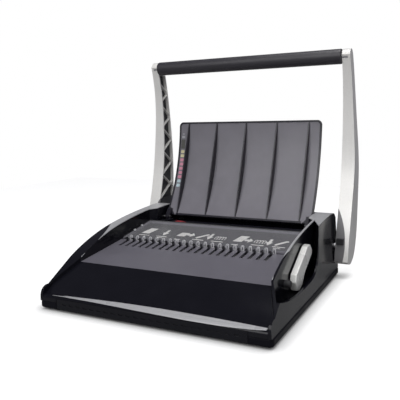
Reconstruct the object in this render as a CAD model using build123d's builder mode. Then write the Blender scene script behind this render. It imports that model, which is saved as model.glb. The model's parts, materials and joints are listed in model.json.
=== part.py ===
from build123d import *
from math import atan2, cos, degrees, hypot, pi, radians, sin, tan
import os

# Manual plastic-comb binding machine. Millimetres, +Z up, +X to the operator's right.
# The operator stands at -Y. Depths are counted backwards from the front face of the
# body, which lies at y = front_y, so that the origin is under the middle of the whole
# machine, handle included.

os.makedirs("parts", exist_ok=True)

# ---------------------------------------------------------------- driving dimensions
body_depth = 395.0          # front face to back face of the body
overall_depth = 451.0       # front face to the back of the handle arms
front_y = -overall_depth / 2

wall = 2.8                  # moulded casing wall
gap = 0.3                   # gap between separate casings

# casing heights
feet_height = 3.0
tray_floor = 2.6
parting_z = 15.0            # base tray below, covers above
lid_z_top = 125.4           # highest point of the body

# casing widths: the sides lean inwards towards the top
tray_half = 200.5
cover_half_low = 198.9      # half width at the parting line
cover_half_high = 191.4     # half width at the top of the body
corner_radius = 5.0
cheek_in = 172.5            # inner face of the side covers beside the deck
shelf_in = 161.0            # inner face of the side covers beside the lid
shelf_z = 92.0              # underside of that wider part
shelf_front = 299.0         # depth where it begins
pocket_wall = 3.5           # right cheek wall between the deck and the lever's pocket
fascia_half = 193.5         # half width of the front fascia at the nose

# sloping front and deck
nose_z = 22.0
deck_front = 73.5           # depth and height of the deck's front edge
deck_front_z = 65.0
deck_back = 195.8
deck_slope = tan(radians(7.0))
deck_thick = 3.0
band_front = 199.6          # instruction band behind the comb fingers
band_front_z = 84.0
band_back = 298.0
band_back_z = 100.2

# comb pitch and fingers
comb_pitch = 14.2875        # 9/16 inch
comb_count = 21
comb_centre_x = -7.8
slot_width = 6.0
slot_shift = 4.2            # each slot lies to the left of its finger
slot_front = 164.0
slot_back = 194.6

# punch
slot_gap = 5.0              # paper slot
slot_d = 314.0              # front face of the paper slot
die_thick = 8.0
guide_thick = 8.0
punch_z = 80.0
punch_width = 7.6
punch_height = 2.6
punch_tip = 321.0
carrier_front = 350.0
carrier_thick = 8.0
block_half = 158.0
block_low = 66.0
block_high = 95.0
rod_x = 162.0
rod_z = 84.0
rod_radius = 3.0

# handle
pivot_d = 375.0
pivot_z = 62.0
shaft_radius = 5.5
arm_in = 198.7              # inner face of each arm
arm_out = 223.8             # outer face at the hub
arm_out_top = 213.2         # outer face at the grip
arm_wall = 2.6
hub_top = 131.0
hub_skin = 1.7              # dark insert let into the arm's front wall
channel_top = 404.0
grip_d = 398.2
grip_z = 417.3
grip_radius = 14.0
grip_tube_radius = 7.0
handle_teeth = 12

# comb opening lever
lever_d = 164.0
lever_z = 46.0
lever_shaft_radius = 5.0
lever_in = 178.0
lever_out = 188.0
lever_teeth = 16

gear_module = 1.25
gear_backlash = 0.35
gear_width = 10.0
gear_x = 145.0

# lid (document support)
lid_half = 158.0
lid_foot = (346.5, 106.0)   # depth and height of the panel's lower edge
lid_head = (413.5, 301.0)
lid_sag = 15.0
lid_thick = 3.0
hinge_d = 341.0
hinge_z = 102.0
hinge_pin_radius = 2.5

# chip drawer
drawer_half = 165.0
drawer_top = 21.4
drawer_back = 335.0

frame_in = 167.0            # inner face of each steel side frame
frame_thick = 3.0


# ---------------------------------------------------------------- planes and helpers
def side(x):
    """Drawing plane seen from the right: (depth, height), extruded towards +X."""
    return Plane(origin=(x, front_y, 0), x_dir=(0, 1, 0), z_dir=(1, 0, 0))


def level(z):
    """Drawing plane seen from above: (x, depth), extruded upwards."""
    return Plane(origin=(0, front_y, z), x_dir=(1, 0, 0), z_dir=(0, 0, 1))


def upright(d):
    """Drawing plane seen from the front: (x, height), extruded towards the front."""
    return Plane(origin=(0, front_y + d, 0), x_dir=(1, 0, 0), z_dir=(0, -1, 0))


def save(piece, label):
    """Label a finished piece and write it."""
    piece.label = label
    export_step(piece, f"parts/{label}.step")


def block(x, d, z):
    """Box between two x, two depths and two heights."""
    with BuildPart(Plane(origin=(0, front_y, 0))) as box:
        with Locations(((x[0] + x[1]) / 2, (d[0] + d[1]) / 2, (z[0] + z[1]) / 2)):
            Box(x[1] - x[0], d[1] - d[0], z[1] - z[0])
    return box.part


def bar(x, d, z, radius):
    """Round bar along X between two x."""
    with BuildPart() as rod:
        with BuildSketch(side(x[0])):
            with Locations((d, z)):
                Circle(radius)
        extrude(amount=x[1] - x[0])
    return rod.part


def comb_x(index):
    """Centre of one comb finger, counted from the left."""
    return comb_centre_x + comb_pitch * (index - (comb_count - 1) / 2)


def deck_height(d):
    """Top surface of the comb deck."""
    return deck_front_z + (d - deck_front) * deck_slope


def band_height(d):
    """Top surface of the clear guard."""
    rise = (band_back_z - band_front_z) / (band_back - band_front)
    return band_front_z + (d - band_front) * rise


def mirrored(piece):
    """The same piece on the other side."""
    return mirror(piece, about=Plane.YZ)


def body_form(low, inset=0.0, drop=0.0):
    """Outer form of the covers from height low, shrunk by inset and lowered by drop."""
    with BuildPart() as form:
        with BuildSketch(side(-tray_half)):
            with BuildLine():
                nose = Line((inset, low), (inset, 24 - drop))
                slope = (18, 38.3 - inset - drop)
                TangentArc(nose @ 1, slope, tangent=nose % 1)
                crest = Line(slope, (66, 67.3 - 1.2 * inset - drop))
                Spline(
                    crest @ 1,
                    (109, 87.7 - 1.1 * inset - drop),
                    (163.5, 104.5 - inset - drop),
                    (232.5, 116.4 - inset - drop),
                    (345, lid_z_top - inset - drop),
                    (384, 123.0 - inset - drop),
                    tangents=[crest % 1, (1, -0.16)],
                )
                Line((384, 123.0 - inset - drop), (body_depth - inset, 114 - inset - drop))
                Line((body_depth - inset, 114 - inset - drop), (body_depth - inset, low))
                Line((body_depth - inset, low), (inset, low))
            make_face()
        extrude(amount=2 * tray_half)
        high = 140.0
        lean = (cover_half_low - cover_half_high) / (lid_z_top - parting_z)
        foot = cover_half_low - inset - lean * (low - parting_z)
        head = cover_half_low - inset - lean * (high - parting_z)
        with BuildSketch(upright(body_depth)):
            with BuildLine():
                Polyline((-foot, low), (foot, low), (head, high), (-head, high), close=True)
            make_face()
        extrude(amount=body_depth, mode=Mode.INTERSECT)
        with BuildSketch(level(low)):
            with Locations((0, body_depth / 2)):
                RectangleRounded(
                    2 * (cover_half_low + 4 - inset), body_depth - 2 * inset, corner_radius
                )
        extrude(amount=high - low, mode=Mode.INTERSECT)
    return form.part


def cover_plan(low, high, inset=0.0):
    """Plan region of the right side cover between two heights."""
    far = tray_half + 10
    with BuildPart() as region:
        with BuildSketch(level(low)):
            with BuildLine():
                Polyline(
                    (fascia_half + inset, -10),
                    (fascia_half + inset, 24 + inset),
                    (cheek_in + inset, deck_front),
                    (cheek_in + inset, shelf_front + inset),
                    (shelf_in + inset, shelf_front + 14 + inset),
                    (shelf_in + inset, body_depth + 10),
                    (far, body_depth + 10),
                    (far, -10),
                    close=True,
                )
            make_face()
        extrude(amount=high - low)
    return region.part


def hand_pocket(grow=0.0):
    """Space for the comb lever in the right side cover, enlarged by grow."""
    inner = cheek_in + pocket_wall - grow
    outer = cover_half_high + 1.6 + grow
    back = 262 + grow
    with BuildPart() as pocket:
        with BuildSketch(side(inner)):
            with BuildLine():
                Polyline(
                    (46 - grow, 53),
                    (60 - grow, 40 - grow),
                    (130, 25 - grow),
                    (345, 25 - grow),
                    (345, 160),
                    (46 - grow, 160),
                    close=True,
                )
            make_face()
        extrude(amount=outer - inner)
        with BuildSketch(level(0)):
            with BuildLine():
                Polyline(
                    (inner, 20),
                    (outer + 5, 20),
                    (outer + 5, back),
                    (outer, back),
                    (inner, back + 36),
                    close=True,
                )
            make_face()
        extrude(amount=160, mode=Mode.INTERSECT)
        # a wall stays beside the deck and the flared fascia
        add(cover_plan(0, 170, inset=pocket_wall - grow), mode=Mode.INTERSECT)
    return pocket.part


def pocket_edge():
    """Cut that lowers the outer wall beside the hand pocket."""
    with BuildPart() as cut:
        with BuildSketch(side(cheek_in + pocket_wall)):
            with BuildLine():
                rim = Spline((40, 52.5), (78.5, 43.4), (136.5, 38.0), (205, 39.0))
                rise = Spline(rim @ 1, (247.5, 58), (262, 122), tangents=[rim % 1, (0.12, 1)])
                Line(rise @ 1, (264, 160))
                Line((264, 160), (40, 160))
                Line((40, 160), rim @ 0)
            make_face()
        extrude(amount=60)
        add(cover_plan(0, 170, inset=pocket_wall), mode=Mode.INTERSECT)
    return cut.part


def pinion(x, d, z, teeth):
    """Pinion on a shaft along X, one tooth pointing straight up."""
    pitch_radius = gear_module * teeth / 2
    half = (pi * gear_module / 2 - gear_backlash) / 2
    tip_half = (half - 0.42 * gear_module) / (pitch_radius + gear_module)
    root_half = (half + 0.30 * gear_module) / (pitch_radius - 1.25 * gear_module)
    points = []
    for index in range(teeth):
        middle = pi / 2 + 2 * pi * index / teeth
        for radius, turn in (
            (pitch_radius - 1.25 * gear_module, -root_half),
            (pitch_radius + gear_module, -tip_half),
            (pitch_radius + gear_module, tip_half),
            (pitch_radius - 1.25 * gear_module, root_half),
        ):
            angle = middle + turn
            points.append((d + radius * cos(angle), z + radius * sin(angle)))
    with BuildPart() as gear:
        with BuildSketch(side(x - gear_width / 2)):
            with BuildLine():
                Polyline(*points, close=True)
            make_face()
        extrude(amount=gear_width)
    return gear.part


def rack(x, d, z, ends, back_height):
    """Rack above a pinion at (d, z being the pitch line), teeth pointing down."""
    pitch = pi * gear_module
    half = (pitch / 2 - gear_backlash) / 2
    root = z + 1.25 * gear_module
    with BuildPart() as strip:
        with BuildSketch(side(x - gear_width / 2)):
            with BuildLine():
                Polyline(
                    (ends[0], root),
                    (ends[1], root),
                    (ends[1], back_height),
                    (ends[0], back_height),
                    close=True,
                )
            make_face()
            first = int((ends[0] - d) / pitch) - 1
            for index in range(first, first + 30):
                middle = d + (index + 0.5) * pitch
                if ends[0] + half < middle < ends[1] - half:
                    with BuildLine():
                        Polyline(
                            (middle - half - 0.30 * gear_module, root + 0.1),
                            (middle - half + 0.42 * gear_module, z - gear_module),
                            (middle + half - 0.42 * gear_module, z - gear_module),
                            (middle + half + 0.30 * gear_module, root + 0.1),
                            close=True,
                        )
                    make_face()
        extrude(amount=gear_width)
    return strip.part


# ---------------------------------------------------------------- base tray and feet
feet_places = [(x, d) for x in (-178, 178) for d in (24, 371)]
screw_places = [(x, d) for x in (-187, 187) for d in (60, 200, 340)]

with BuildPart() as base_tray:
    with BuildSketch(level(feet_height)):
        with Locations((0, body_depth / 2)):
            RectangleRounded(2 * tray_half, body_depth, corner_radius + 2)
    extrude(amount=parting_z - feet_height)
    fillet(base_tray.faces().sort_by(Axis.Z)[0].edges(), radius=3.5)
    chamfer(base_tray.faces().sort_by(Axis.Z)[-1].edges(), length=1.3)
    with BuildSketch(level(feet_height + tray_floor)):
        with Locations((0, body_depth / 2)):
            RectangleRounded(2 * (tray_half - wall), body_depth - 2 * wall, corner_radius)
    extrude(amount=parting_z, mode=Mode.SUBTRACT)
    # drawer mouth
    add(
        block(
            (-drawer_half - 0.8, drawer_half + 0.8), (-1, wall + 6), (feet_height + 1.4, 30)
        ),
        mode=Mode.SUBTRACT,
    )
    # rails beside the drawer and a stop behind it
    for edge in (-1, 1):
        rail = sorted((edge * (drawer_half + 1.0), edge * (drawer_half + 2.6)))
        add(block(rail, (wall + 1, drawer_back), (feet_height + 1, drawer_top)))
    add(
        block(
            (-drawer_half + 20, drawer_half - 20),
            (drawer_back + 3, drawer_back + 6),
            (feet_height + 1, drawer_top),
        )
    )
    # screw posts
    with BuildSketch(level(feet_height + 1)):
        with Locations(*screw_places):
            Circle(4)
    extrude(amount=parting_z + 4 - feet_height - 1)
    with BuildSketch(level(feet_height - 1)):
        with Locations(*screw_places):
            Circle(3.2)
    extrude(amount=3.6, mode=Mode.SUBTRACT)
    with BuildSketch(level(feet_height)):
        with Locations(*screw_places):
            Circle(1.5)
    extrude(amount=20, mode=Mode.SUBTRACT)
    # recesses that hold the rubber feet
    with BuildSketch(level(feet_height - 1)):
        with Locations(*feet_places):
            Circle(9)
    extrude(amount=1.8, mode=Mode.SUBTRACT)
save(base_tray.part, "base_tray")

with BuildPart() as rubber_feet:
    with BuildSketch(level(0)):
        with Locations(*feet_places):
            Circle(9)
    extrude(amount=feet_height + 0.8)
    chamfer(rubber_feet.faces().group_by(Axis.Z)[0].edges(), length=0.6)
save(rubber_feet.part, "rubber_feet")

with BuildPart() as case_screws:
    with BuildSketch(level(feet_height + 0.5)):
        with Locations(*screw_places):
            Circle(3.2)
            RegularPolygon(radius=1.4, side_count=6, mode=Mode.SUBTRACT)
    extrude(amount=2.1)
    with BuildSketch(level(feet_height + 2.0)):
        with Locations(*screw_places):
            Circle(1.5)
    extrude(amount=13)
save(case_screws.part, "case_screws")

# ---------------------------------------------------------------- side covers and trims
trim_thick = 1.2
outer_form = body_form(parting_z)
inner_form = body_form(parting_z - 8, inset=wall)
lowered_form = body_form(parting_z - 8, drop=trim_thick)


def trim_plan(outline):
    """Plan region of a top trim from its outline points on the right side."""
    with BuildPart() as region:
        with BuildSketch(level(60)):
            with BuildLine():
                curve = Spline(*outline)
                Polyline(
                    curve @ 1,
                    (tray_half, body_depth + 5),
                    (shelf_in - 1, body_depth + 5),
                    (shelf_in - 1, shelf_front + 14),
                    (cheek_in - 1, shelf_front),
                    (cheek_in - 1, outline[0][1]),
                    curve @ 0,
                )
            make_face()
        extrude(amount=80)
    return region.part


with BuildPart() as plain_cover:
    add(outer_form)
    add(cover_plan(0, 160), mode=Mode.INTERSECT)

with BuildPart() as cover_hollow:
    add(inner_form)
    add(cover_plan(0, 160, inset=wall), mode=Mode.INTERSECT)

with BuildPart() as cover_openings:
    # the wider shelf beside the lid is open underneath
    add(block((150, cheek_in - 0.1), (290, body_depth - wall), (0, shelf_z)))
    # handle shaft
    add(bar((cheek_in - 20, tray_half + 5), pivot_d, pivot_z, 8.0))
    # lid hinge pin
    add(bar((shelf_in - 5, shelf_in + wall), hinge_d, hinge_z, hinge_pin_radius))

# the trim tapers to a thin line towards the front; the pocket leaves only its inner edge
# beside the lever
trim_outline = [(cheek_in + 1.2, 76), (176.4, 148), (tray_half, 205)]

with BuildPart() as top_layer:
    add(plain_cover.part)
    add(lowered_form, mode=Mode.SUBTRACT)

with BuildPart() as right_top_trim:
    add(top_layer.part)
    add(trim_plan(trim_outline), mode=Mode.INTERSECT)
    add(hand_pocket(), mode=Mode.SUBTRACT)
    add(pocket_edge(), mode=Mode.SUBTRACT)
save(right_top_trim.part, "right_top_trim")

with BuildPart() as left_trim_shape:
    add(top_layer.part)
    add(trim_plan(trim_outline), mode=Mode.INTERSECT)
with BuildPart() as left_top_trim:
    add(mirrored(left_trim_shape.part))
save(left_top_trim.part, "left_top_trim")

with BuildPart() as left_cover_shape:
    add(plain_cover.part)
    add(cover_hollow.part, mode=Mode.SUBTRACT)
    add(cover_openings.part, mode=Mode.SUBTRACT)
    add(left_trim_shape.part, mode=Mode.SUBTRACT)
with BuildPart() as left_side_cover:
    add(mirrored(left_cover_shape.part))
save(left_side_cover.part, "left_side_cover")

with BuildPart() as right_hollow:
    add(cover_hollow.part)
    add(hand_pocket(grow=2.2), mode=Mode.SUBTRACT)

with BuildPart() as right_side_cover:
    add(plain_cover.part)
    add(right_hollow.part, mode=Mode.SUBTRACT)
    add(hand_pocket(), mode=Mode.SUBTRACT)
    add(pocket_edge(), mode=Mode.SUBTRACT)
    add(cover_openings.part, mode=Mode.SUBTRACT)
    add(right_top_trim.part, mode=Mode.SUBTRACT)
    # comb lever shaft
    add(bar((cheek_in - 5, lever_in + 4), lever_d, lever_z, 6.5), mode=Mode.SUBTRACT)
save(right_side_cover.part, "right_side_cover")

with BuildPart() as lever_bumper:
    with BuildSketch(side(cheek_in + pocket_wall)):
        with Locations((126, 53.5)):
            Circle(6)
    extrude(amount=10.5)
    fillet(lever_bumper.faces().sort_by(Axis.X)[-1].edges(), radius=3)
save(lever_bumper.part, "lever_bumper")

# ---------------------------------------------------------------- front fascia
fascia_top = (deck_front - gap, deck_front_z - 0.2)
slope_run = fascia_top[0] - 7.5
slope_rise = fascia_top[1] - 26.0
slope_angle = atan2(slope_rise, slope_run)


def fascia_line(lift=0.0):
    """Outer line of the fascia from its lower edge to the deck, lifted outwards."""
    rise = (-sin(slope_angle) * lift, cos(slope_angle) * lift)
    foot = Line((-lift, parting_z + 0.2), (-lift, nose_z - 2))
    start = (7.5 + rise[0], 26.0 + rise[1])
    arc = TangentArc(foot @ 1, start, tangent=foot % 1)
    slope = Line(arc @ 1, (fascia_top[0] + rise[0], fascia_top[1] + rise[1]))
    return foot @ 0, slope @ 1


def fascia_layer(low, high):
    """Layer along the fascia between two lifts, as wide as the nose."""
    with BuildPart() as layer:
        with BuildSketch(side(-fascia_half)):
            with BuildLine():
                inner = fascia_line(low)
                outer = fascia_line(high)
                Line(inner[0], outer[0])
                Line(inner[1], outer[1])
            make_face()
        extrude(amount=2 * fascia_half)
    return layer.part


def fascia_plan():
    """Plan region of the fascia between the side covers."""
    with BuildPart() as region:
        with BuildSketch(level(0)):
            with BuildLine():
                Polyline(
                    (-fascia_half + gap, -10),
                    (-fascia_half + gap, 24),
                    (-cheek_in + gap, deck_front),
                    (cheek_in - gap, deck_front),
                    (fascia_half - gap, 24),
                    (fascia_half - gap, -10),
                    close=True,
                )
            make_face()
        extrude(amount=100)
    return region.part


with BuildPart() as front_fascia:
    add(fascia_layer(-wall, 0))
    add(fascia_plan(), mode=Mode.INTERSECT)
    add(
        block((-drawer_half - 0.8, drawer_half + 0.8), (-5, 10), (0, drawer_top + 0.5)),
        mode=Mode.SUBTRACT,
    )
save(front_fascia.part, "front_fascia")

# the stripe is a thin inlay on the nose, pointed at the left and blunt at the right
with BuildPart() as front_stripe:
    add(fascia_layer(0, 0.8))
    with BuildSketch(upright(60)):
        with BuildLine():
            lower = Bezier((-176, 25.7), (0, 26.3), (85, 18.4), (189, 26.0))
            upper = Bezier((-176, 25.7), (-90, 27.0), (-20, 31.0), (189, 27.2))
            ThreePointArc(lower @ 1, (190.4, 26.6), upper @ 1)
        make_face()
    extrude(amount=80, mode=Mode.INTERSECT)
save(front_stripe.part, "front_stripe")

# ---------------------------------------------------------------- deck and band
with BuildPart() as comb_deck:
    with BuildSketch(side(-cheek_in + gap)):
        with BuildLine():
            Polyline(
                (deck_front, deck_height(deck_front)),
                (deck_back, deck_height(deck_back)),
                (deck_back, deck_height(deck_back) - deck_thick),
                (deck_front + 3, deck_height(deck_front + 3) - deck_thick),
                (deck_front + 3, 55),
                (deck_front, 55),
                close=True,
            )
        make_face()
    extrude(amount=2 * (cheek_in - gap))
    with BuildSketch(level(50)):
        for index in range(comb_count):
            with Locations((comb_x(index) - slot_shift, (slot_front + slot_back) / 2)):
                Rectangle(slot_width, slot_back - slot_front)
    extrude(amount=60, mode=Mode.SUBTRACT)
save(comb_deck.part, "comb_deck")

with BuildPart() as upper_deck:
    with BuildSketch(side(-cheek_in + gap)):
        with BuildLine():
            Polyline(
                (band_front, band_height(band_front) - 2.2),
                (band_back, band_height(band_back) - 2.2),
                (band_back, 84),
                (band_back - 3, 84),
                (band_back - 3, band_height(band_back - 3) - 5.2),
                (band_front + 3, band_height(band_front + 3) - 5.2),
                (band_front + 3, 72),
                (band_front, 72),
                close=True,
            )
        make_face()
    extrude(amount=2 * (cheek_in - gap))
save(upper_deck.part, "upper_deck")


def band_sheet(ends, depth, low, high):
    """Thin sheet lying on the band between two depths, from low to high above the deck."""
    with BuildPart() as sheet:
        with BuildSketch(side(ends[0])):
            with BuildLine():
                Polyline(
                    (depth[0], band_height(depth[0]) + low),
                    (depth[1], band_height(depth[1]) + low),
                    (depth[1], band_height(depth[1]) + high),
                    (depth[0], band_height(depth[0]) + high),
                    close=True,
                )
            make_face()
        extrude(amount=ends[1] - ends[0])
    return sheet.part


with BuildPart() as instruction_label:
    add(band_sheet((-163, 163), (band_front + 8, band_back - 12), -2.2, -1.8))
save(instruction_label.part, "instruction_label")

with BuildPart() as clear_guard:
    add(band_sheet((-171, 171), (band_front + 1, band_back), -1.6, 0))
    # side strips that rest on the deck
    for edge in (-1, 1):
        strip = sorted((edge * 165, edge * 171))
        add(band_sheet(strip, (band_front + 1, band_back), -2.2, -1.6))
save(clear_guard.part, "clear_guard")

guard_screw_places = [(x, d) for x in (-167.5, 167.5) for d in (236, 262)]
with BuildPart() as guard_screws:
    for x, d in guard_screw_places:
        with BuildSketch(level(band_height(d) - 0.8)):
            with Locations((x, d)):
                Circle(2.6)
        extrude(amount=3.4)
    add(clear_guard.part, mode=Mode.SUBTRACT)
save(guard_screws.part, "guard_screws")

# fixed comb fingers: one pressed steel sheet
with BuildPart() as comb_rake:
    with BuildSketch(upright(198.4)):
        with Locations((0, 68)):
            Rectangle(2 * frame_in - 0.6, 8)
        for index in range(comb_count):
            with Locations((comb_x(index), 79)):
                SlotOverall(21, 6.2, rotation=90)
            with Locations((comb_x(index), 83.5)):
                SlotOverall(6.5, 2.2, rotation=90, mode=Mode.SUBTRACT)
    extrude(amount=1.5)
save(comb_rake.part, "comb_rake")

# ---------------------------------------------------------------- punch block


def punch_holes(clearance):
    """Row of rectangular holes through the punch block."""
    with BuildPart() as row:
        with BuildSketch(upright(slot_d + 30)):
            for index in range(comb_count):
                with Locations((comb_x(index), punch_z)):
                    Rectangle(punch_width + clearance, punch_height + clearance)
        extrude(amount=60)
    return row.part


with BuildPart() as die_plate:
    add(
        block((-block_half, block_half), (slot_d - die_thick, slot_d), (block_low, block_high))
    )
    add(punch_holes(0.5), mode=Mode.SUBTRACT)
save(die_plate.part, "die_plate")

guide_front = slot_d + slot_gap
with BuildPart() as punch_guide:
    across = (guide_front, guide_front + guide_thick)
    add(block((-block_half, block_half), across, (block_low, block_high)))
    add(block((-frame_in + gap, frame_in - gap), across, (block_low, shelf_z - 1)))
    add(punch_holes(0.5), mode=Mode.SUBTRACT)
    # sockets of the guide rods
    with BuildSketch(upright(guide_front + guide_thick)):
        with Locations((-rod_x, rod_z), (rod_x, rod_z)):
            Circle(rod_radius)
    extrude(amount=6, mode=Mode.SUBTRACT)
save(punch_guide.part, "punch_guide")

with BuildPart() as paper_stop:
    add(block((-block_half, block_half), (slot_d, guide_front), (block_low, block_low + 7)))
save(paper_stop.part, "paper_stop")

with BuildPart() as throat_guide:
    with BuildSketch(side(-shelf_in + gap)):
        with BuildLine():
            Polyline(
                (guide_front + 0.5, block_high),
                (guide_front + 0.5, block_high + 1.2),
                (guide_front + 14, block_high + 2.0),
                (guide_front + 14, block_high - 9),
                (guide_front + guide_thick + 0.2, block_high - 9),
                (guide_front + guide_thick + 0.2, block_high),
                close=True,
            )
        make_face()
    extrude(amount=2 * (shelf_in - gap))
    # clear of the rods and their springs
    for edge in (-1, 1):
        ends = sorted((edge * (rod_x - 6), edge * (rod_x + 6)))
        add(block(ends, (300, 350), (70, 91)), mode=Mode.SUBTRACT)
save(throat_guide.part, "throat_guide")

with BuildPart() as throat_front:
    with BuildSketch(side(-shelf_in + gap)):
        with BuildLine():
            Polyline(
                (band_back + gap, 93.5),
                (slot_d - die_thick, block_high + 0.2),
                (slot_d, block_high + 0.2),
                (slot_d, block_high + 1.4),
                (band_back + gap, block_high + 1.4),
                close=True,
            )
        make_face()
    extrude(amount=2 * (shelf_in - gap))
save(throat_front.part, "throat_front")

with BuildPart() as guide_rods:
    with BuildSketch(upright(guide_front + guide_thick - 6)):
        with Locations((-rod_x, rod_z), (rod_x, rod_z)):
            Circle(rod_radius)
    extrude(amount=-(378 - guide_front - guide_thick + 6))
save(guide_rods.part, "guide_rods")

# ---------------------------------------------------------------- steel side frames
shaft_bush_radius = 9.0
with BuildPart() as right_frame:
    with BuildSketch(side(frame_in)):
        with BuildLine():
            Polyline(
                (128, 24),
                (388, 24),
                (388, 90),
                (303, 90),
                (300, 70),
                (190, 62),
                (128, 58),
                close=True,
            )
        make_face()
        with Locations((pivot_d, pivot_z)):
            Circle(shaft_bush_radius, mode=Mode.SUBTRACT)
        with Locations((lever_d, lever_z)):
            Circle(8, mode=Mode.SUBTRACT)
        with Locations((225, 44), (320, 50)):
            SlotOverall(36, 16, mode=Mode.SUBTRACT)
    extrude(amount=frame_thick)
save(right_frame.part, "right_frame")
with BuildPart() as left_frame:
    add(mirrored(right_frame.part))
save(left_frame.part, "left_frame")


def bush(x, d, z, bore, radius):
    """Flanged plain bearing in a side frame, flange on the inner side."""
    with BuildPart() as sleeve:
        with BuildSketch(side(x)):
            with Locations((d, z)):
                Circle(radius)
                Circle(bore, mode=Mode.SUBTRACT)
        extrude(amount=frame_thick)
        with BuildSketch(side(x - 1.6)):
            with Locations((d, z)):
                Circle(radius + 2)
                Circle(bore, mode=Mode.SUBTRACT)
        extrude(amount=1.6)
    return sleeve.part


with BuildPart() as shaft_bushes:
    right_bush = bush(frame_in, pivot_d, pivot_z, shaft_radius + 0.05, shaft_bush_radius)
    add(right_bush)
    add(mirrored(right_bush))
save(shaft_bushes.part, "shaft_bushes")

with BuildPart() as lever_bushes:
    right_lever_bush = bush(frame_in, lever_d, lever_z, lever_shaft_radius + 0.05, 8)
    add(right_lever_bush)
    add(mirrored(right_lever_bush))
save(lever_bushes.part, "lever_bushes")

with BuildPart() as frame_tie:
    # round tie rod that keeps the two frames apart
    add(bar((-frame_in, frame_in), 270, 34, 4))
save(frame_tie.part, "frame_tie")

# ---------------------------------------------------------------- rear cover
with BuildPart() as rear_cover:
    add(outer_form)
    add(body_form(parting_z - 8, inset=wall), mode=Mode.SUBTRACT)
    add(block((-shelf_in + gap, shelf_in - gap), (364, 400), (0, 160)), mode=Mode.INTERSECT)
    # lip behind the lid
    add(block((-shelf_in + gap, shelf_in - gap), (364, 364 + wall), (100, 123.5)))
save(rear_cover.part, "rear_cover")

# ---------------------------------------------------------------- chip drawer
with BuildPart() as chip_drawer:
    add(
        block(
            (-drawer_half + 0.6, drawer_half - 0.6),
            (3.2, drawer_back),
            (feet_height + tray_floor + 0.4, drawer_top - 0.4),
        )
    )
    add(
        block(
            (-drawer_half + 2.4, drawer_half - 2.4),
            (5.2, drawer_back - 1.8),
            (feet_height + tray_floor + 2.0, 40),
        ),
        mode=Mode.SUBTRACT,
    )
save(chip_drawer.part, "chip_drawer")

with BuildPart() as drawer_front:
    add(
        block((-drawer_half, drawer_half), (0.2, 3.2), (feet_height + 1.8, drawer_top)),
    )
    # row of small finger grooves
    with BuildSketch(upright(1.2)):
        for index in range(23):
            with Locations(((index - 11) * 13.6, 13.6)):
                SlotOverall(8.4, 2.6)
    extrude(amount=3, mode=Mode.SUBTRACT)
save(drawer_front.part, "drawer_front")

# ---------------------------------------------------------------- handle
def arm_outline(inset=0.0):
    """Side outline of a handle arm, shrunk by inset."""
    front = Spline(
        (361 + inset, 34 + inset),
        (370 + inset, 77),
        (390 + inset, 140),
        (405 + inset, 200),
        (411 + inset, 280),
        (406 + inset, 360),
        (390 + inset, 420),
    )
    back = Spline(
        (419 - inset, 422),
        (436 - inset, 350),
        (447 - inset, 270),
        (overall_depth - inset, 200),
        (448 - inset, 125),
        (439 - inset, 66),
        (403, 28 + inset),
        tangents=[(0.35, -1), (-1, -0.2)],
    )
    ThreePointArc(front @ 1, (405, 431.4 - inset), back @ 0)
    ThreePointArc(back @ 1, (375, 27 + inset), front @ 0)


def arm_front_view(shift=0.0):
    """Front outline of the right arm, its outer face moved inwards by shift."""
    outer = Spline(
        (arm_out - shift, 190),
        (219 - shift, 300),
        (arm_out_top - shift, 432),
        tangents=[(0, 1), (-0.04, 1)],
    )
    Line((arm_out - shift, 20), outer @ 0)
    Line(outer @ 1, (arm_in, 432))
    Line((arm_in, 432), (arm_in, 20))
    Line((arm_in, 20), (arm_out - shift, 20))


def hub_face():
    """Front outline of the dark D-shaped insert at the foot of the right arm."""
    bow = ThreePointArc((arm_in + 1, hub_top), (arm_in + 16.8, 80), (arm_in + 15, 33))
    Polyline(bow @ 1, (arm_in - 1, 33), (arm_in - 1, hub_top), bow @ 0)


with BuildPart() as arm_solid:
    with BuildSketch(side(arm_in)):
        with BuildLine():
            arm_outline()
        make_face()
    extrude(amount=arm_out - arm_in)
    with BuildSketch(upright(460)):
        with BuildLine():
            arm_front_view()
        make_face()
    extrude(amount=120, mode=Mode.INTERSECT)

with BuildPart() as arm_channel:
    with BuildSketch(side(arm_in)):
        with BuildLine():
            arm_outline(inset=arm_wall)
        make_face()
    extrude(amount=arm_out - arm_in)
    add(block((arm_in, arm_out), (340, 460), (20, channel_top)), mode=Mode.INTERSECT)
    with BuildSketch(upright(460)):
        with BuildLine():
            arm_front_view(shift=arm_wall)
        make_face()
    extrude(amount=120, mode=Mode.INTERSECT)

with BuildPart() as arm_outline_prism:
    with BuildSketch(side(arm_in)):
        with BuildLine():
            arm_outline(inset=arm_wall + 0.1)
        make_face()
    extrude(amount=arm_out - arm_in)

with BuildPart() as arm_side_plate:
    add(arm_solid.part)
    add(arm_outline_prism.part, mode=Mode.INTERSECT)
    add(block((arm_in, arm_in + 2.4), (340, 460), (0, hub_top)), mode=Mode.INTERSECT)
    add(bar((arm_in - 1, arm_in + 10), pivot_d, pivot_z, 11.2), mode=Mode.SUBTRACT)

with BuildPart() as hub_insert:
    add(arm_solid.part)
    with BuildSketch(upright(460)):
        with BuildLine():
            hub_face()
        make_face()
    extrude(amount=120, mode=Mode.INTERSECT)

with BuildPart() as right_hub_cover:
    # D-shaped skin on the front of the hub
    add(hub_insert.part)
    add(Pos(0, hub_skin, 0) * hub_insert.part, mode=Mode.SUBTRACT)
save(right_hub_cover.part, "right_hub_cover")
with BuildPart() as left_hub_cover:
    add(mirrored(right_hub_cover.part))
save(left_hub_cover.part, "left_hub_cover")

with BuildPart() as arm_boss:
    add(bar((arm_in, arm_out - 1), pivot_d, pivot_z, 11))
    add(arm_solid.part, mode=Mode.INTERSECT)

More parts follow.
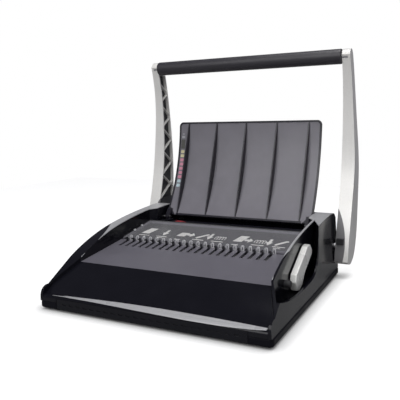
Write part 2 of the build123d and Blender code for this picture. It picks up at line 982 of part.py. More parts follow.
with BuildPart() as right_arm:
    add(arm_solid.part)
    add(arm_channel.part, mode=Mode.SUBTRACT)
    # boss around the shaft, bored from the inner side
    add(arm_boss.part)
    add(bar((arm_in - 1, arm_out - 5), pivot_d, pivot_z, shaft_radius), mode=Mode.SUBTRACT)
    # socket of the grip tube
    add(bar((arm_in - 1, arm_in + 10.5), grip_d, grip_z, grip_tube_radius), mode=Mode.SUBTRACT)
    add(right_hub_cover.part, mode=Mode.SUBTRACT)
save(right_arm.part, "right_arm")
with BuildPart() as left_arm:
    add(mirrored(right_arm.part))
save(left_arm.part, "left_arm")

liner_in = arm_in + 6.5
with BuildPart() as upper_channel:
    add(arm_channel.part)
    add(
        block((arm_in + 0.6, liner_in + 2.2), (340, 460), (hub_top + 0.4, 420)),
        mode=Mode.INTERSECT,
    )

with BuildPart() as right_arm_liner:
    add(upper_channel.part)
    add(block((liner_in, liner_in + 3), (340, 460), (100, 420)), mode=Mode.INTERSECT)
    # closes the step down to the side plate over the hub
    add(arm_side_plate.part)
    add(block((arm_in, liner_in + 2.2), (340, 460), (hub_top - 2.6, hub_top + 1)))
    add(arm_outline_prism.part, mode=Mode.INTERSECT)
    add(right_hub_cover.part, mode=Mode.SUBTRACT)
save(right_arm_liner.part, "right_arm_liner")
with BuildPart() as left_arm_liner:
    add(mirrored(right_arm_liner.part))
save(left_arm_liner.part, "left_arm_liner")

# zigzag of thin ribs on the liner
truss_step = 26
truss_rib = 1.5
truss_angle = 33
with BuildPart() as right_arm_truss:
    with BuildSketch(side(arm_in + 0.6)):
        for index in range(10):
            height = hub_top + truss_step * (index + 0.6)
            middle = 429.5 - 0.0011 * (height - 255) ** 2
            with Locations((middle, height)):
                Rectangle(90, truss_rib, rotation=truss_angle * (-1) ** index)
    extrude(amount=liner_in - arm_in - 0.6)
    add(upper_channel.part, mode=Mode.INTERSECT)
    add(right_arm_liner.part, mode=Mode.SUBTRACT)
save(right_arm_truss.part, "right_arm_truss")
with BuildPart() as left_arm_truss:
    add(mirrored(right_arm_truss.part))
save(left_arm_truss.part, "left_arm_truss")

with BuildPart() as hub_blocks:
    # small black stop block on the front of each hub
    right_block = block((arm_in + 2.5, arm_in + 15.5), (362.5, 370), (66.5, 77.5))
    add(right_block)
    add(mirrored(right_block))
    for behind in (right_hub_cover, left_hub_cover, right_arm, left_arm):
        add(behind.part, mode=Mode.SUBTRACT)
save(hub_blocks.part, "hub_blocks")

with BuildPart() as cross_shaft:
    add(bar((-arm_out + 5, arm_out - 5), pivot_d, pivot_z, shaft_radius))
save(cross_shaft.part, "cross_shaft")

with BuildPart() as drive_pinions:
    for x in (-gear_x, gear_x):
        add(pinion(x, pivot_d, pivot_z, handle_teeth))
    add(bar((-frame_in, frame_in), pivot_d, pivot_z, shaft_radius), mode=Mode.SUBTRACT)
save(drive_pinions.part, "drive_pinions")

with BuildPart() as grip_tube:
    add(bar((-arm_in - 10.5, arm_in + 10.5), grip_d, grip_z, grip_tube_radius))
    add(bar((-arm_out, arm_out), grip_d, grip_z, grip_tube_radius - 1.5), mode=Mode.SUBTRACT)
save(grip_tube.part, "grip_tube")

with BuildPart() as foam_grip:
    add(bar((-arm_in + 0.8, arm_in - 0.8), grip_d, grip_z, grip_radius))
    fillet(foam_grip.edges().filter_by(GeomType.CIRCLE), radius=2.5)
    add(bar((-arm_in, arm_in), grip_d, grip_z, grip_tube_radius), mode=Mode.SUBTRACT)
save(foam_grip.part, "foam_grip")

# ---------------------------------------------------------------- punch carriage
with BuildPart() as punch_carrier:
    add(
        block(
            (-frame_in + 1.5, frame_in - 1.5),
            (carrier_front, carrier_front + carrier_thick),
            (71, 89.5),
        )
    )
    with BuildSketch(upright(carrier_front + carrier_thick + 1)):
        with Locations((-rod_x, rod_z), (rod_x, rod_z)):
            Circle(rod_radius + 0.05)
    extrude(amount=carrier_thick + 2, mode=Mode.SUBTRACT)
save(punch_carrier.part, "punch_carrier")

with BuildPart() as punches:
    with BuildSketch(upright(carrier_front)):
        for index in range(comb_count):
            with Locations((comb_x(index), punch_z)):
                Rectangle(punch_width, punch_height)
    extrude(amount=carrier_front - punch_tip)
save(punches.part, "punches")

handle_pitch_radius = gear_module * handle_teeth / 2
rack_back = carrier_front + carrier_thick
with BuildPart() as drive_racks:
    for x in (-gear_x, gear_x):
        add(rack(x, pivot_d, pivot_z + handle_pitch_radius, (rack_back, 391.0), 77))
save(drive_racks.part, "drive_racks")


spring_wire = 0.5
spring_room = carrier_front - guide_front - guide_thick
with BuildPart() as return_springs:
    # compression springs around the guide rods, in front of the carriage
    for x in (-rod_x, rod_x):
        start = front_y + guide_front + guide_thick + spring_wire + 0.2
        with BuildLine():
            coil = Helix(
                pitch=(spring_room - 2 * spring_wire - 0.4) / 6,
                height=spring_room - 2 * spring_wire - 0.4,
                radius=rod_radius + 0.4 + spring_wire,
                center=(x, start, rod_z),
                direction=(0, 1, 0),
            )
        with BuildSketch(Plane(origin=coil @ 0, z_dir=coil % 0)):
            Circle(spring_wire)
        sweep(path=coil, is_frenet=True)
save(return_springs.part, "return_springs")

# ---------------------------------------------------------------- comb opener
lever_pitch_radius = gear_module * lever_teeth / 2
with BuildPart() as lever_arm:
    with BuildSketch(side(lever_in)):
        with BuildLine():
            Polyline(
                (154, 35),
                (146, 50),
                (150, 62),
                (212, 94),
                (226, 95),
                (239, 84),
                (238, 76),
                (196, 54),
                (182, 38),
                (166, 32),
                close=True,
            )
        make_face()
    extrude(amount=lever_out - lever_in)
    fillet(lever_arm.edges().filter_by(Axis.X), radius=3.5)
    fillet(lever_arm.faces().sort_by(Axis.X)[-1].edges(), radius=1.6)
    add(
        bar((lever_in - 1, lever_out - 3), lever_d, lever_z, lever_shaft_radius),
        mode=Mode.SUBTRACT,
    )
save(lever_arm.part, "lever_arm")

with BuildPart() as lever_shaft:
    add(bar((-frame_in - 2, lever_out - 3), lever_d, lever_z, lever_shaft_radius))
save(lever_shaft.part, "lever_shaft")

opener_gear_x = 158.0
with BuildPart() as lever_pinions:
    for x in (-opener_gear_x, opener_gear_x):
        add(pinion(x, lever_d, lever_z, lever_teeth))
    add(bar((-frame_in, frame_in), lever_d, lever_z, lever_shaft_radius), mode=Mode.SUBTRACT)
save(lever_pinions.part, "lever_pinions")

opener_back = 196.0
opener_low = 62.0
opener_top = 64.0
with BuildPart() as opener_racks:
    for x in (-opener_gear_x, opener_gear_x):
        add(rack(x, lever_d, lever_z + lever_pitch_radius, (155, 200), opener_low))
save(opener_racks.part, "opener_racks")

with BuildPart() as opener_bar:
    ends = (-opener_gear_x - gear_width / 2, opener_gear_x + gear_width / 2)
    add(block(ends, (opener_back - 10, opener_back), (opener_low, opener_top)))
save(opener_bar.part, "opener_bar")

hook_thick = 1.6
with BuildPart() as opener_hooks:
    for index in range(comb_count):
        with BuildSketch(side(comb_x(index) - slot_shift - hook_thick / 2)):
            with BuildLine():
                Polyline(
                    (188, opener_top),
                    (193, opener_top),
                    (193, 85.5),
                    (190.5, 87.0),
                    (184, 86.2),
                    (184, 84.4),
                    (188, 84.4),
                    close=True,
                )
            make_face()
        extrude(amount=hook_thick)
save(opener_hooks.part, "opener_hooks")

# ---------------------------------------------------------------- lid
lid_chord = (lid_head[0] - lid_foot[0], lid_head[1] - lid_foot[1])
lid_length = hypot(*lid_chord)
lid_lean = atan2(lid_chord[1], lid_chord[0])
lid_bend = ((lid_length / 2) ** 2 + lid_sag**2) / (2 * lid_sag)
lid_normal = (sin(lid_lean), -cos(lid_lean))
lid_centre = (
    (lid_foot[0] + lid_head[0]) / 2 - lid_normal[0] * (lid_bend - lid_sag),
    (lid_foot[1] + lid_head[1]) / 2 - lid_normal[1] * (lid_bend - lid_sag),
)
lid_start = degrees(atan2(lid_foot[1] - lid_centre[1], lid_foot[0] - lid_centre[0]))
lid_end = degrees(atan2(lid_head[1] - lid_centre[1], lid_head[0] - lid_centre[0]))
lid_sweep = lid_end - lid_start


def lid_layer(low, high):
    """Curved layer of the lid between two lifts behind its front surface."""
    with BuildPart() as layer:
        with BuildSketch(side(-lid_half)):
            with BuildLine():
                inner = CenterArc(lid_centre, lid_bend + low, lid_start, lid_sweep)
                outer = CenterArc(lid_centre, lid_bend + high, lid_start, lid_sweep)
                Line(inner @ 0, outer @ 0)
                Line(inner @ 1, outer @ 1)
            make_face()
        extrude(amount=2 * lid_half)
    return layer.part


def lid_window(inset):
    """Prism along the depth with the lid's front outline, shrunk by inset."""
    with BuildPart() as window:
        with BuildSketch(upright(440)) as outline:
            with BuildLine():
                Polyline(
                    (-137, 100),
                    (137, 100),
                    (lid_half, 119),
                    (lid_half, lid_head[1] + 0.2),
                    (-lid_half, lid_head[1] + 0.2),
                    (-lid_half, 119),
                    close=True,
                )
            make_face()
            fillet(outline.vertices().group_by(Axis.Y)[-1], radius=10)
            if inset:
                offset(amount=-inset)
        extrude(amount=110)
    return window.part


rim_width = 3.6
with BuildPart() as lid_rim:
    add(lid_layer(-0.8, lid_thick + 0.8))
    add(lid_window(0), mode=Mode.INTERSECT)
    add(lid_window(rim_width), mode=Mode.SUBTRACT)
    # lower border, which the window leaves open
    with BuildSketch(side(-137)):
        with BuildLine():
            low = CenterArc(lid_centre, lid_bend - 0.8, lid_start, 0.6)
            high = CenterArc(lid_centre, lid_bend + lid_thick + 0.8, lid_start, 0.6)
            Line(low @ 0, high @ 0)
            Line(low @ 1, high @ 1)
        make_face()
    extrude(amount=274)
save(lid_rim.part, "lid_rim")

guide_strip = ((-154, -142), (128, 286))
with BuildPart() as strip_shape:
    add(lid_layer(0, 0.6))
    with BuildSketch(upright(440)):
        with Locations((sum(guide_strip[0]) / 2, sum(guide_strip[1]) / 2)):
            Rectangle(12, guide_strip[1][1] - guide_strip[1][0])
    extrude(amount=110, mode=Mode.INTERSECT)
save(strip_shape.part, "comb_size_guide")

with BuildPart() as lid_panel:
    add(lid_layer(0, lid_thick))
    add(lid_window(rim_width), mode=Mode.INTERSECT)
    add(lid_rim.part, mode=Mode.SUBTRACT)
    add(strip_shape.part, mode=Mode.SUBTRACT)
save(lid_panel.part, "lid_panel")

rib_places = (-134, -67, 0, 67, 133)
rib_thick = 2.4
rib_lift = 1.6
with BuildPart() as lid_ribs:
    for x in rib_places:
        with BuildSketch(side(x - rib_thick / 2)):
            with BuildLine():
                hollow = CenterArc(lid_centre, lid_bend, lid_start + 0.7, lid_sweep - 1.3)
                lower = hollow @ 0 - Vector(*lid_normal) * rib_lift
                upper = hollow @ 1 - Vector(*lid_normal) * rib_lift
                Line(hollow @ 0, lower)
                Line(lower, upper)
                Line(upper, hollow @ 1)
            make_face()
        extrude(amount=rib_thick)
save(lid_ribs.part, "lid_ribs")

with BuildPart() as lid_hinge_arms:
    for x in (-156, 147):
        with BuildSketch(side(x)):
            with Locations((hinge_d, hinge_z)):
                Circle(5.5)
            with Locations((350, 114)):
                Circle(5)
            make_hull()
            with Locations((hinge_d, hinge_z)):
                Circle(hinge_pin_radius + 0.05, mode=Mode.SUBTRACT)
        extrude(amount=9)
    add(lid_rim.part, mode=Mode.SUBTRACT)
    add(lid_panel.part, mode=Mode.SUBTRACT)
save(lid_hinge_arms.part, "lid_hinge_arms")

with BuildPart() as lid_hinge_pins:
    for ends in ((-shelf_in - wall, -146), (146, shelf_in + wall)):
        add(bar(ends, hinge_d, hinge_z, hinge_pin_radius))
save(lid_hinge_pins.part, "lid_hinge_pins")

# ---------------------------------------------------------------- edge guide
with BuildPart() as edge_guide:
    # rides on the ledge behind the paper slot
    add(
        block(
            (-146, -134),
            (guide_front - slot_gap + 1.2, guide_front + 14),
            (block_high + 2.4, block_high + 5.0),
        )
    )
    add(
        block(
            (-146, -142), (slot_d + 1.2, slot_d + 3.8), (block_high - 12, block_high + 2.4)
        )
    )
save(edge_guide.part, "edge_guide")
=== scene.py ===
"""Looks of the comb binding machine: camera, lights, materials, springs and printed marks.

X runs across the machine, Y from front to back and Z up from the table. Lengths are in
metres, and in millimetres where a name or a comment says so.
"""
import json
from math import cos, pi, radians, sin

import bpy
from mathutils import Matrix, Vector


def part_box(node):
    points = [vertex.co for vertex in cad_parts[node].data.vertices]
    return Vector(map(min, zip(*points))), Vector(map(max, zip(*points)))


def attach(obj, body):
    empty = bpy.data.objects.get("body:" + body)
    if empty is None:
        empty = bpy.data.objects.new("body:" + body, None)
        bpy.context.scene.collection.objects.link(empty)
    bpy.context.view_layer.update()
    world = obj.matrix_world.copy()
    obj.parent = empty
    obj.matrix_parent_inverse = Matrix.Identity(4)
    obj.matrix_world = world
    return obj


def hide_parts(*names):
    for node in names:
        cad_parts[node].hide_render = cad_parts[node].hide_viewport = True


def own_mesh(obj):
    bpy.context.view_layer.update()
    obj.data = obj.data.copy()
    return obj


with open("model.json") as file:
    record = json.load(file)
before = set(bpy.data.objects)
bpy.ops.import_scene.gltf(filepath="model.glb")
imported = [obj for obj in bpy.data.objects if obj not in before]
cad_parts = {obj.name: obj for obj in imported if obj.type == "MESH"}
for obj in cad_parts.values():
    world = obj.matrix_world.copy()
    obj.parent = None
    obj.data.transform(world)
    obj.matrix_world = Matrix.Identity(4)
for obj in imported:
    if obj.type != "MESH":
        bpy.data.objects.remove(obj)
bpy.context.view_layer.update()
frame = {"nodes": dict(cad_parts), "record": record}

NODES = frame["nodes"]
MM = 0.001


# ---------------------------------------------------------------- camera, light, floor
CAMERA_PLACE = (0.4168, -0.8589, 0.2965)
CAMERA_HEADING = radians(26.78)
CAMERA_DOWN = radians(8.1)
CAMERA_ROLL = radians(-0.92)
CAMERA_LENS = 47.96  # millimetres
SENSOR_WIDTH = 36  # millimetres

# height in the sky as a direction's Z, and the grey of the studio there
STUDIO_LOW = (0.15, (0.20, 0.20, 0.22, 1))
STUDIO_HIGH = (0.75, (0.10, 0.10, 0.12, 1))
WHITE = (1, 1, 1, 1)

FLOOR_HALF = 1.6
FLOOR_GREY = (0.34, 0.34, 0.34, 1)
FLOOR_ROUGH = 0.9
FLOOR_SPECULAR = 0.1
FLOOR_GLOW = 0.86
# painted contact shadow: distance and power of the ambient occlusion that dims the floor's
# glow near the machine
PAINTED_SHADOW_DISTANCE = 0.03  # how near a surface has to be to darken the floor
PAINTED_SHADOW_POWER = 1.6

# square softboxes: place, point they are aimed at, side, watts
LIGHTS = {
    "key": ((-0.1, -2.1, 1.6), (0, 0, 0.12), 2.0, 38),
    "fill": ((1.7, -1.4, 0.7), (0, 0, 0.15), 1.0, 3),
    "overhead": ((0.3, 0.0, 2.1), (0, 0, 0.1), 1.2, 24),
}


def make_camera():
    """Camera in front of the machine, to its right and a little above."""
    data = bpy.data.cameras.new("camera")
    data.lens = CAMERA_LENS
    data.sensor_width = SENSOR_WIDTH
    camera = bpy.data.objects.new("camera", data)
    turn = (
        Matrix.Rotation(CAMERA_HEADING, 4, "Z")
        @ Matrix.Rotation(pi / 2 - CAMERA_DOWN, 4, "X")
        @ Matrix.Rotation(CAMERA_ROLL, 4, "Z")
    )
    camera.matrix_world = Matrix.Translation(CAMERA_PLACE) @ turn
    bpy.context.scene.collection.objects.link(camera)
    bpy.context.scene.camera = camera


def make_area_light(name, place, target, size, watts):
    """Square softbox aimed at a point."""
    data = bpy.data.lights.new(name, "AREA")
    data.shape = "SQUARE"
    data.size = size
    data.energy = watts
    light = bpy.data.objects.new(name, data)
    aim = Vector(target) - Vector(place)
    turn = aim.to_track_quat("-Z", "Y").to_matrix().to_4x4()
    light.matrix_world = Matrix.Translation(place) @ turn
    bpy.context.scene.collection.objects.link(light)


def make_world():
    """Studio: white to the eye, grey to the machine and darker overhead."""
    world = bpy.data.worlds.new("studio")
    world.use_nodes = True
    bpy.context.scene.world = world
    tree = world.node_tree
    tree.nodes.clear()
    coordinates = tree.nodes.new("ShaderNodeTexCoord")
    split = tree.nodes.new("ShaderNodeSeparateXYZ")
    ramp = tree.nodes.new("ShaderNodeValToRGB")
    for element, (place, grey) in zip(ramp.color_ramp.elements, (STUDIO_LOW, STUDIO_HIGH)):
        element.position = place
        element.color = grey
    studio = tree.nodes.new("ShaderNodeBackground")
    backdrop = tree.nodes.new("ShaderNodeBackground")
    backdrop.inputs["Color"].default_value = WHITE
    path = tree.nodes.new("ShaderNodeLightPath")
    mix = tree.nodes.new("ShaderNodeMixShader")
    output = tree.nodes.new("ShaderNodeOutputWorld")
    tree.links.new(coordinates.outputs["Generated"], split.inputs[0])
    tree.links.new(split.outputs["Z"], ramp.inputs[0])
    tree.links.new(ramp.outputs[0], studio.inputs["Color"])
    tree.links.new(path.outputs["Is Camera Ray"], mix.inputs[0])
    tree.links.new(studio.outputs[0], mix.inputs[1])
    tree.links.new(backdrop.outputs[0], mix.inputs[2])
    tree.links.new(mix.outputs[0], output.inputs["Surface"])


def make_floor():
    """White floor with a painted contact shadow: it darkens where the machine nearly touches
    it.
    """
    half = FLOOR_HALF
    mesh = bpy.data.meshes.new("floor")
    corners = [(-half, -half, 0), (half, -half, 0), (half, half, 0), (-half, half, 0)]
    mesh.from_pydata(corners, [], [(0, 1, 2, 3)])
    floor = bpy.data.objects.new("floor", mesh)
    bpy.context.scene.collection.objects.link(floor)
    paint = bpy.data.materials.new("floor_paint")
    paint.use_nodes = True
    tree = paint.node_tree
    shader = tree.nodes["Principled BSDF"]
    shader.inputs["Base Color"].default_value = FLOOR_GREY
    shader.inputs["Roughness"].default_value = FLOOR_ROUGH
    shader.inputs["Specular IOR Level"].default_value = FLOOR_SPECULAR
    shader.inputs["Emission Color"].default_value = WHITE
    # the glow is for the eye alone, so that it does not light the machine from below
    path = tree.nodes.new("ShaderNodeLightPath")
    # painted contact shadow: ambient occlusion dims the floor's glow where the machine is
    # near
    painted_contact_shadow = tree.nodes.new("ShaderNodeAmbientOcclusion")
    painted_contact_shadow.inputs["Distance"].default_value = PAINTED_SHADOW_DISTANCE
    painted_shade = tree.nodes.new("ShaderNodeMath")
    painted_shade.operation = "POWER"
    painted_shade.inputs[1].default_value = PAINTED_SHADOW_POWER
    glow = tree.nodes.new("ShaderNodeMath")
    glow.operation = "MULTIPLY"
    strength = tree.nodes.new("ShaderNodeMath")
    strength.operation = "MULTIPLY"
    strength.inputs[1].default_value = FLOOR_GLOW
    tree.links.new(painted_contact_shadow.outputs["AO"], painted_shade.inputs[0])
    tree.links.new(painted_shade.outputs[0], glow.inputs[0])
    tree.links.new(path.outputs["Is Camera Ray"], glow.inputs[1])
    tree.links.new(glow.outputs[0], strength.inputs[0])
    tree.links.new(strength.outputs[0], shader.inputs["Emission Strength"])
    floor.data.materials.append(paint)


make_camera()
make_world()
make_floor()
bpy.context.scene.view_settings.view_transform = "Standard"
for light_name, light_values in LIGHTS.items():
    make_area_light(light_name, *light_values)


# ---------------------------------------------------------------- materials
RAMP_ENDS = (0.3, 0.7)
MOTTLE_DETAIL = 4
SMUDGE_SCALE = 18
SMUDGE_DETAIL = 6
GRAIN_DETAIL = 2
GRAIN_STRENGTH = 0.6
RIPPLE_SCALE = 60
RIPPLE_DETAIL = 1
RIPPLE_STRENGTH = 0.5
BEVEL_SAMPLES = 4
SMOOTHEST = 0.02


def noise(tree, coordinates, scale, detail, stretch=(1, 1, 1)):
    """Noise texture over the object's own coordinates, stretched along an axis."""
    mapping = tree.nodes.new("ShaderNodeMapping")
    mapping.inputs["Scale"].default_value = stretch
    texture = tree.nodes.new("ShaderNodeTexNoise")
    texture.inputs["Scale"].default_value = scale
    texture.inputs["Detail"].default_value = detail
    tree.links.new(coordinates.outputs["Object"], mapping.inputs[0])
    tree.links.new(mapping.outputs[0], texture.inputs["Vector"])
    return texture


def ramp_between(tree, factor, low, high):
    """Colour ramp from low to high driven by factor."""
    ramp = tree.nodes.new("ShaderNodeValToRGB")
    for element, place, value in zip(ramp.color_ramp.elements, RAMP_ENDS, (low, high)):
        element.position = place
        element.color = (*value, 1)
    tree.links.new(factor, ramp.inputs[0])
    return ramp.outputs[0]


def surface(
    name,
    colour,
    rough,
    mottle=0.08,
    mottle_scale=35,
    smudge=0.06,
    grain=1800,
    grain_depth=0.03,
    ripple=0,
    stretch=(1, 1, 1),
    edge=0.4,
    **sockets,
):
    """Procedural material: mottled colour, smudged roughness, grain and rounded edges.

    mottle_scale and grain are noise scales in object space. grain_depth, ripple and edge
    are in millimetres. sockets are set on the shader, with _ for each space in the name.
    """
    paint = bpy.data.materials.new(name)
    paint.use_nodes = True
    tree = paint.node_tree
    shader = tree.nodes["Principled BSDF"]
    coordinates = tree.nodes.new("ShaderNodeTexCoord")

    patches = noise(tree, coordinates, mottle_scale, MOTTLE_DETAIL, stretch)
    low = [channel * (1 - mottle) for channel in colour]
    high = [min(1, channel * (1 + mottle)) for channel in colour]
    mottled = ramp_between(tree, patches.outputs[0], low, high)
    tree.links.new(mottled, shader.inputs["Base Color"])

    wear = noise(tree, coordinates, SMUDGE_SCALE, SMUDGE_DETAIL, stretch)
    smooth = [max(SMOOTHEST, rough - smudge)] * 3
    dull = [min(1, rough + smudge)] * 3
    smudged = ramp_between(tree, wear.outputs[0], smooth, dull)
    tree.links.new(smudged, shader.inputs["Roughness"])

    texture = noise(tree, coordinates, grain, GRAIN_DETAIL, stretch)
    bump = tree.nodes.new("ShaderNodeBump")
    bump.inputs["Strength"].default_value = GRAIN_STRENGTH
    bump.inputs["Distance"].default_value = grain_depth * MM
    tree.links.new(texture.outputs[0], bump.inputs["Height"])
    rounding = tree.nodes.new("ShaderNodeBevel")
    rounding.samples = BEVEL_SAMPLES
    rounding.inputs["Radius"].default_value = edge * MM
    if ripple:
        wave = noise(tree, coordinates, RIPPLE_SCALE, RIPPLE_DETAIL)
        swell = tree.nodes.new("ShaderNodeBump")
        swell.inputs["Strength"].default_value = RIPPLE_STRENGTH
        swell.inputs["Distance"].default_value = ripple * MM
        tree.links.new(wave.outputs[0], swell.inputs["Height"])
        tree.links.new(rounding.outputs[0], swell.inputs["Normal"])
        tree.links.new(swell.outputs[0], bump.inputs["Normal"])
    else:
        tree.links.new(rounding.outputs[0], bump.inputs["Normal"])
    tree.links.new(bump.outputs[0], shader.inputs["Normal"])

    for socket, value in sockets.items():
        shader.inputs[socket.replace("_", " ")].default_value = value
    return paint


# one look for each material slot of the record
LOOKS = {
    "case_gloss": dict(
        colour=(0.006, 0.006, 0.009), rough=0.16, smudge=0.05, grain_depth=0.004,
        ripple=0.02, Specular_IOR_Level=0.25,
    ),
    "case_matt": dict(
        colour=(0.006, 0.006, 0.009), rough=0.42, grain=1400, grain_depth=0.04,
        Specular_IOR_Level=0.08,
    ),
    "deck_grey": dict(
        colour=(0.125, 0.120, 0.142), rough=0.40, mottle=0.05, grain=1500, grain_depth=0.035,
    ),
    "silver_plastic": dict(
        colour=(0.42, 0.42, 0.43), rough=0.30, mottle=0.10, mottle_scale=900,
        grain_depth=0.01, Metallic=0.15,
    ),
    "arm_silver": dict(
        colour=(0.82, 0.81, 0.78), rough=0.34, mottle=0.05, mottle_scale=900,
        grain_depth=0.012, Metallic=0.15, Coat_Weight=0.2, Coat_Roughness=0.2,
    ),
    # hub_grey: dark grey of the arm's hub cover, partly its own colour and partly painted
    # shadow of the tower on the arm's front face
    "hub_grey": dict(colour=(0.15, 0.147, 0.152), rough=0.38),
    "liner_dark": dict(colour=(0.022, 0.022, 0.026), rough=0.5, grain_depth=0.05),
    "lever_silver": dict(
        colour=(0.80, 0.80, 0.77), rough=0.28, mottle=0.05, mottle_scale=900,
        grain_depth=0.01, Metallic=0.2, Coat_Weight=0.3, Coat_Roughness=0.12,
    ),
    "lid_grey": dict(colour=(0.168, 0.161, 0.183), rough=0.36, mottle=0.05, grain=1500),
    # lid_dark: near black on the lid's ribs, painted shade standing in for the shade on the
    # ribs' side faces
    "lid_dark": dict(colour=(0.009, 0.008, 0.014), rough=0.32),
    "label": dict(
        colour=(0.026, 0.025, 0.030), rough=0.35, mottle=0.06, grain_depth=0.006, edge=0.1,
    ),
    "foam": dict(
        colour=(0.028, 0.026, 0.032), rough=0.42, mottle=0.16, mottle_scale=700, grain=1600,
        grain_depth=0.12, Sheen_Weight=0.08, Sheen_Roughness=0.4,
    ),
    "rubber": dict(colour=(0.016, 0.016, 0.018), rough=0.6, grain_depth=0.06),
    "steel": dict(
        colour=(0.52, 0.52, 0.53), rough=0.30, smudge=0.1, grain=900, grain_depth=0.012,
        stretch=(0.08, 1, 1), edge=0.15, Metallic=1.0,
    ),
    "chrome": dict(
        colour=(0.82, 0.82, 0.84), rough=0.26, smudge=0.05, grain_depth=0.004, edge=0.3,
        Metallic=0.45,
    ),
    "dark_steel": dict(
        colour=(0.05, 0.05, 0.055), rough=0.35, smudge=0.1, grain_depth=0.01, edge=0.15,
        Metallic=0.8,
    ),
    "acetal": dict(colour=(0.55, 0.55, 0.52), rough=0.45, grain_depth=0.01, edge=0.1),
    "bronze": dict(colour=(0.50, 0.34, 0.18), rough=0.38, grain_depth=0.02, Metallic=1.0),
    "clear_plastic": dict(
        colour=(0.45, 0.45, 0.47), rough=0.22, mottle=0.01, smudge=0.05, grain_depth=0.002,
        edge=0.2, Alpha=0.13, Specular_IOR_Level=0.3,
    ),
}
MATERIALS = {name: surface(name, **look) for name, look in LOOKS.items()}


def dress_cad_nodes():
    """Give each CAD node the material of its slot in the record."""
    for part in frame["record"]["subparts"]:
        node = NODES[part["node"]]
        node.data.materials.clear()
        node.data.materials.append(MATERIALS[part["material_slot"]])


dress_cad_nodes()


def make_return_springs():
    """Copy of the return springs on the body, in place of the CAD node, which is hidden."""
    node = NODES["return_springs"]
    springs = bpy.data.objects.new("coil_springs", node.data.copy())
    springs.matrix_world = node.matrix_world.copy()
    bpy.context.scene.collection.objects.link(springs)
    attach(springs, "body")
    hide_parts("return_springs")
    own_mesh(springs)


make_return_springs()


# ---------------------------------------------------------------- printed marks
FAR_OUT = 1  # start of a ray, well clear of the machine
PRINT_SINK = -0.05  # millimetres a print reaches under the surface it is on
PRINT_THICK = 0.1  # millimetres
PICTOGRAM_THICK = 0.08  # millimetres
CORNER_STEPS = 4


def touch(node, origin, direction):
    """Point and normal where a ray meets a CAD node."""
    hit, point, normal, _ = NODES[node].ray_cast(Vector(origin), Vector(direction))
    if not hit:
        raise ValueError(f"no surface of {node} at {tuple(origin)}")
    return point, normal


def on_top(node, x, y):
    """Point and normal of the node's upper surface at x, y."""
    return touch(node, (x, y, FAR_OUT), (0, 0, -1))


def on_front(node, x, z):
    """Point and normal of the node's front surface at x, z."""
    return touch(node, (x, -FAR_OUT, z), (0, 1, 0))


def printed(name, node, body, paint, outlines, meet, thick=PRINT_THICK):
    """Thin closed prisms on a node's surface, one for each flat outline."""
    vertices, faces = [], []
    for outline in outlines:
        first = len(vertices)
        count = len(outline)
        for lift in (PRINT_SINK, thick):
            for a, b in outline:
                point, normal = meet(node, a, b)
                vertices.append(point + normal * lift * MM)
        faces.append([first + index for index in reversed(range(count))])
        faces.append([first + count + index for index in range(count)])
        for index in range(count):
            after = (index + 1) % count
            faces.append(
                [first + index, first + after, first + count + after, first + count + index]
            )
    mesh = bpy.data.meshes.new(name)
    mesh.from_pydata(vertices, [], faces)
    mesh.validate()
    mesh.materials.append(paint)
    piece = bpy.data.objects.new(name, mesh)
    bpy.context.scene.collection.objects.link(piece)
    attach(piece, body)
    return piece


def ink(name, colour, rough=0.4):
    """Printing ink: nearly smooth, with barely rounded edges."""
    return surface(name, colour, rough, grain_depth=0.005, edge=0.05)


def rounded(x, y, size):
    """Rounded rectangle about a centre; size is width, height and radius in millimetres."""
    width, height, radius = (length * MM for length in size)
    outline = []
    for corner in range(4):
        start = corner * pi / 2
        side_x = 1 if corner in (0, 3) else -1
        side_y = 1 if corner in (0, 1) else -1
        for step in range(CORNER_STEPS):
            angle = start + step * pi / 6
            outline.append(
                (
                    x + side_x * (width / 2 - radius) + radius * cos(angle),
                    y + side_y * (height / 2 - radius) + radius * sin(angle),
                )
            )
    return outline


# size marks on the comb guide strip, rows counted down from MARK_Z
MARK_Z = 0.237
MARK_PITCH = 0.009
MARK_SIZE = (8.6, 6.4, 1.6)
MARK_COLOURS = {
    "yellow": ((0.60, 0.55, 0.33), (0, 1)),
    "pink": ((0.58, 0.24, 0.32), (2, 3, 4, 5, 6)),
    "blue": ((0.44, 0.56, 0.60), (7, 8)),
}
# height above MARK_Z and size of the field over the rows, and of the two bars of its icon
FIELD = (0.0165, (10.0, 20.0, 1.0))
ICON_BARS = ((0.032, (7.0, 4.6, 0.8)), (0.0385, (4.6, 2.4, 0.8)))


def make_size_marks():
    """Coloured size marks down the comb guide strip on the lid."""
    low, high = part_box("comb_size_guide")
    x = (low.x + high.x) / 2
    for word, (colour, rows) in MARK_COLOURS.items():
        outlines = [rounded(x, MARK_Z - MARK_PITCH * row, MARK_SIZE) for row in rows]
        paint = ink(f"mark_{word}", colour)
        printed(f"size_marks_{word}", "comb_size_guide", "lid", paint, outlines, on_front)
    up, size = FIELD
    field = [rounded(x, MARK_Z + up, size)]
    paint = ink("mark_field", (0.075, 0.075, 0.068))
    printed("size_marks_field", "comb_size_guide", "lid", paint, field, on_front)
    icon = [rounded(x, MARK_Z + up, size) for up, size in ICON_BARS]
    paint = ink("mark_pale", (0.34, 0.34, 0.36))
    printed("size_marks_icon", "comb_size_guide", "lid", paint, icon, on_front)


make_size_marks()


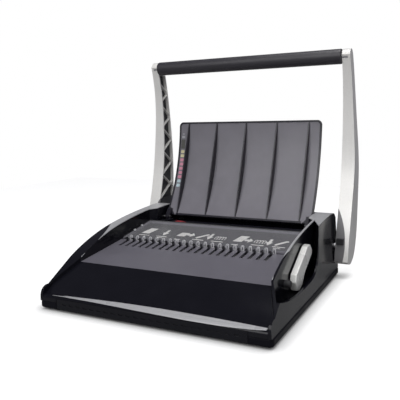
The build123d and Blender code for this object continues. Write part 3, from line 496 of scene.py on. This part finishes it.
# outlines of the pictograms, in units that PICTOGRAM_SCALE makes into millimetres
SHEET = [(0, 6), (13, 6), (16, 15), (3, 15)]
SHEET_STACK = [[(x + 2.2, y + 4.2) for x, y in SHEET], [(x + 0.2, y - 0.6) for x, y in SHEET]]
ARROW_RIGHT = [(0, 9), (6, 9), (6, 6), (12, 11), (6, 16), (6, 13), (0, 13)]
ARROW_DOWN = [(3, 18), (3, 11), (0, 11), (5, 4), (10, 11), (7, 11), (7, 18)]
BASE_LINE = [(0, 0.5), (18, 0.5), (18, 1.9), (0, 1.9)]
SHORT_LINE = [(3, -2.5), (13, -2.5), (13, -1.3), (3, -1.3)]
LEVER_SIGN = [(0, 5), (3, 4), (14, 13), (17, 13.5), (15, 16), (12, 15.5), (1, 7.5)]

# open rings of the comb sign: how many, how far apart, the first centre, both half sizes
RING_COUNT = 4
RING_PITCH = 4
RING_CENTRE = (3, 9)
RING_OUTER = (2.6, 4.2)
RING_INNER = (1.5, 3.0)
RING_STEPS = 8
RING_START = -60  # degrees
RING_SWEEP = 300  # degrees


def comb_sign():
    """Row of open rings seen from the side."""
    angles = [
        radians(RING_START + RING_SWEEP * step / RING_STEPS) for step in range(RING_STEPS + 1)
    ]
    strips = []
    for index in range(RING_COUNT):
        x = RING_PITCH * index + RING_CENTRE[0]
        y = RING_CENTRE[1]
        outer, inner = (
            [(x + wide * cos(angle), y + tall * sin(angle)) for angle in angles]
            for wide, tall in (RING_OUTER, RING_INNER)
        )
        for step in range(RING_STEPS):
            strips.append([outer[step], outer[step + 1], inner[step + 1], inner[step]])
    return strips


def moved(outlines, x, y=0.0):
    """Outlines shifted in their own units."""
    return [[(a + x, b + y) for a, b in outline] for outline in outlines]


PICTOGRAMS = [
    SHEET_STACK + [BASE_LINE],
    moved([ARROW_DOWN], 4) + [BASE_LINE, SHORT_LINE],
    [SHEET] + moved([ARROW_RIGHT], 15) + [SHORT_LINE],
    moved([LEVER_SIGN], 2) + moved([ARROW_DOWN], 17) + [BASE_LINE],
    comb_sign() + [BASE_LINE],
    SHEET_STACK + moved([ARROW_RIGHT], 16, -1) + [SHORT_LINE],
    comb_sign() + moved([ARROW_DOWN], 17, -1) + [BASE_LINE],
    moved([LEVER_SIGN], 1) + [BASE_LINE, SHORT_LINE],
]
PICTOGRAM_SCALE = (1.3, 2.0)
BAND_SPARE = 0.016  # length of the label that the row of pictograms leaves free
BAND_START = 0.014  # from the label's left end to the first pictogram
BAND_FRONT = 0.012  # from the label's front edge to the pictograms' zero line


def make_pictograms():
    """White generic instruction pictograms on the label under the clear guard."""
    low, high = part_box("instruction_label")
    pitch = (high.x - low.x - BAND_SPARE) / len(PICTOGRAMS)
    wide, deep = PICTOGRAM_SCALE
    outlines = []
    for index, sign in enumerate(PICTOGRAMS):
        x = low.x + BAND_START + pitch * index
        y = low.y + BAND_FRONT
        for outline in sign:
            outlines.append([(x + a * MM * wide, y + b * MM * deep) for a, b in outline])
    paint = ink("print_white", (0.78, 0.77, 0.74), 0.45)
    printed(
        "pictograms", "instruction_label", "body", paint, outlines, on_top,
        PICTOGRAM_THICK,
    )


make_pictograms()


# the red mark's bars start at RED_LEFT; front edge and back edge of each, as the distance
# behind the strip's middle line and the place of its right end
RED_LEFT = -0.124
RED_BARS = (
    ((-0.0048, -0.098), (-0.0022, -0.103)),
    ((0.0002, -0.108), (0.0028, -0.113)),
)


def make_red_marks():
    """Red bars at the left end of the throat strip."""
    paint = ink("print_red", (0.46, 0.045, 0.055))
    low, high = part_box("throat_guide")
    y = (low.y + high.y) / 2
    bars = [
        [
            (RED_LEFT, y + front),
            (front_end, y + front),
            (back_end, y + back),
            (RED_LEFT, y + back),
        ]
        for (front, front_end), (back, back_end) in RED_BARS
    ]
    printed("throat_mark", "throat_guide", "body", paint, bars, on_top)


make_red_marks()
